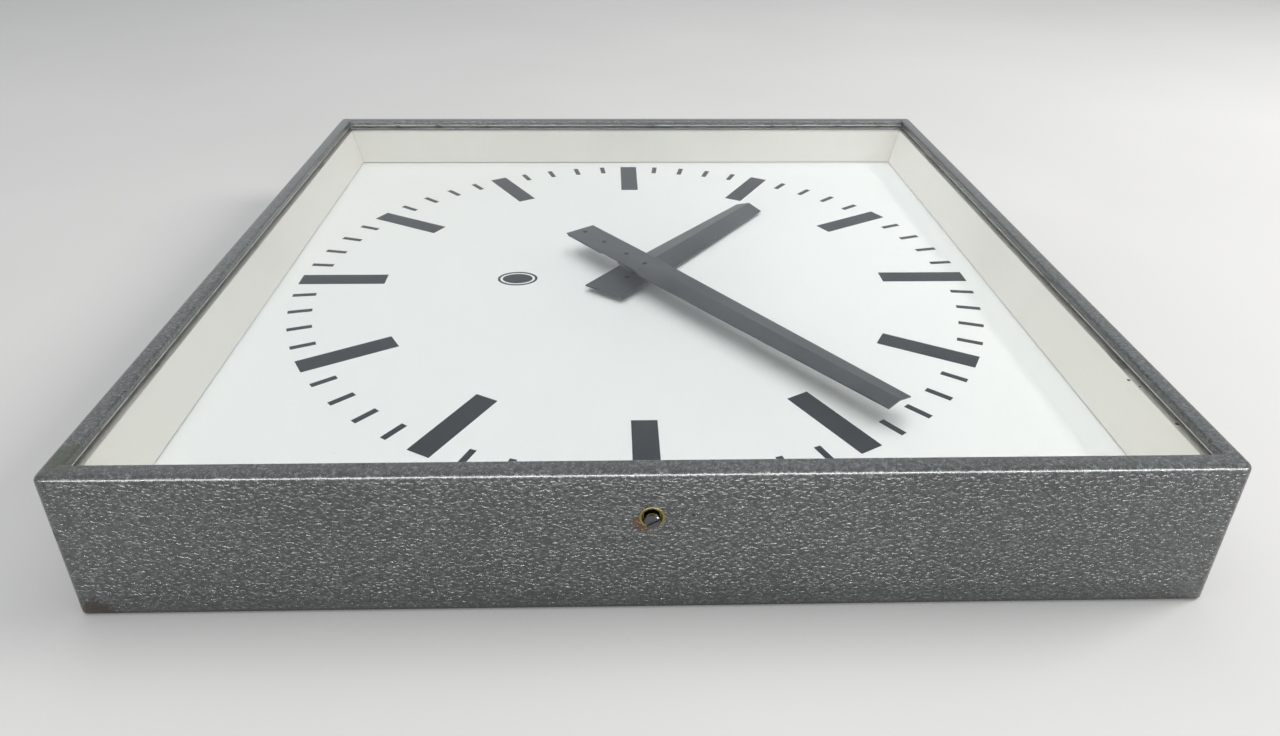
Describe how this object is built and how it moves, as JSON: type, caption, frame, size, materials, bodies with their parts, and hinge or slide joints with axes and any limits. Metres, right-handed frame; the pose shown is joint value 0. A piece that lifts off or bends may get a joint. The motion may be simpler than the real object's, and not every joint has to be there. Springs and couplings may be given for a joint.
{
  "type": "wall clock",
  "caption": "Square sheet-steel slave wall clock with a lift-off glazed cover, white dial, baton marks and two folded hands driven by a stepping motor.",
  "frame": {"origin": "centre of the flat back face, with the clock lying on its back", "axes": "+Z out of the dial towards the viewer, +Y towards twelve o'clock, +X towards three o'clock"},
  "size_m": [0.5, 0.5032, 0.075],
  "materials": {
    "hammer_paint": "grey hammertone stoving enamel",
    "rear_paint": "plain grey enamel",
    "dial_paint": "matt white",
    "dial_print": "matt dark slate print",
    "reveal_paint": "cream satin",
    "hand_paint": "dark blue-grey satin",
    "clear_glass": "clear float glass",
    "felt": "grey felt",
    "zinc_steel": "bright zinc",
    "yellow_zinc": "yellow chromate",
    "arbor_steel": "ground steel",
    "wheel_brass": "bright brass",
    "plate_steel": "brushed aluminium",
    "magnet": "dark sintered magnet",
    "core_iron": "blued laminations",
    "copper_wire": "enamelled copper",
    "bobbin_plastic": "ivory nylon",
    "terminal_plastic": "dark phenolic",
    "wire_sleeve": "red sleeve",
    "black_rubber": "black rubber"
  },
  "bodies": {
    "case": {"rear_box": "rear_paint", "cable_grommet": "black_rubber", "dial_plate": "dial_paint", "hour_marks": "dial_print", "minute_marks": "dial_print", "dial_emblem": "dial_print", "dial_screws": "zinc_steel", "movement_posts": "zinc_steel", "post_screws": "zinc_steel", "pillars": "arbor_steel", "front_plate_screws": "zinc_steel", "back_plate_screws": "zinc_steel", "back_plate": "plate_steel", "front_plate": "plate_steel", "arbor_bushes": "wheel_brass", "minute_wheel_stud": "arbor_steel", "stud_clip": "arbor_steel", "upper_pole_piece": "core_iron", "lower_pole_piece": "core_iron", "coil_core": "core_iron", "coil_bobbin": "bobbin_plastic", "coil_winding": "copper_wire", "stator_spacers": "wheel_brass", "stator_screws": "zinc_steel", "terminal_block": "terminal_plastic", "terminal_screws": "zinc_steel", "lead_wires": "wire_sleeve"},
    "minute_hand_arbor": {"centre_arbor": "arbor_steel", "centre_wheel": "wheel_brass", "cannon_pinion": "arbor_steel", "minute_hand": "hand_paint", "minute_hand_hub": "hand_paint", "hub_rivets": "hand_paint", "counterweight": "hand_paint", "counterweight_rivets": "hand_paint"},
    "hour_hand_pipe": {"hour_wheel": "wheel_brass", "hour_pipe": "wheel_brass", "hour_hand": "hand_paint", "hour_hand_hub": "hand_paint", "hour_hand_rivets": "hand_paint"},
    "minute_wheel_set": {"minute_wheel": "wheel_brass", "minute_wheel_pinion": "arbor_steel"},
    "intermediate_set": {"intermediate_arbor": "arbor_steel", "intermediate_wheel": "wheel_brass"},
    "rotor": {"rotor_arbor": "arbor_steel", "rotor_magnet": "magnet"},
    "cover": {"front_cover": "hammer_paint", "glass_pane": "clear_glass", "glass_seal": "felt", "right_reveal": "reveal_paint", "upper_reveal": "reveal_paint", "left_reveal": "reveal_paint", "lower_reveal": "reveal_paint", "glass_brackets": "zinc_steel", "reveal_screws": "zinc_steel", "lock_ferrule": "yellow_zinc"},
    "lock_screw": {"lock_screw": "zinc_steel"},
    "lock_nut": {"lock_nut": "zinc_steel"}
  },
  "joints": [
    {"name": "minute_turn", "type": "hinge", "parent": "case", "child": "minute_hand_arbor", "pos_m": [0, 0, 0.03], "axis": [0, 0, -1], "continuous": true},
    {"name": "hour_turn", "type": "hinge", "parent": "case", "child": "hour_hand_pipe", "pos_m": [0, 0, 0.04], "axis": [0, 0, -1], "continuous": true},
    {"name": "minute_wheel_turn", "type": "hinge", "parent": "case", "child": "minute_wheel_set", "pos_m": [0.0192, 0, 0.034], "axis": [0, 0, -1], "continuous": true},
    {"name": "intermediate_turn", "type": "hinge", "parent": "case", "child": "intermediate_set", "pos_m": [-0.018, 0, 0.02], "axis": [0, 0, -1], "continuous": true},
    {"name": "rotor_turn", "type": "hinge", "parent": "case", "child": "rotor", "pos_m": [-0.0348, 0, 0.017], "axis": [0, 0, -1], "continuous": true},
    {"name": "cover_lift", "type": "slide", "parent": "case", "child": "cover", "axis": [0, 0, 1], "range_m": [0, 0.08]},
    {"name": "lock_screw_turn", "type": "hinge", "parent": "cover", "child": "lock_screw", "pos_m": [0, -0.245, 0.0517], "axis": [0, -1, 0], "range_deg": [0, 540]},
    {"name": "lock_nut_travel", "type": "slide", "parent": "cover", "child": "lock_nut", "axis": [0, 1, 0], "range_m": [0, 0.0015]}
  ],
  "couplings": [
    {"joint": "hour_turn", "follows": "minute_turn", "ratio": 0.083333},
    {"joint": "minute_wheel_turn", "follows": "minute_turn", "ratio": -0.33333},
    {"joint": "intermediate_turn", "follows": "minute_turn", "ratio": -5},
    {"joint": "rotor_turn", "follows": "minute_turn", "ratio": 30},
    {"joint": "lock_screw_turn", "follows": "lock_nut_travel", "rad_per_m": 6283.2}
  ]
}
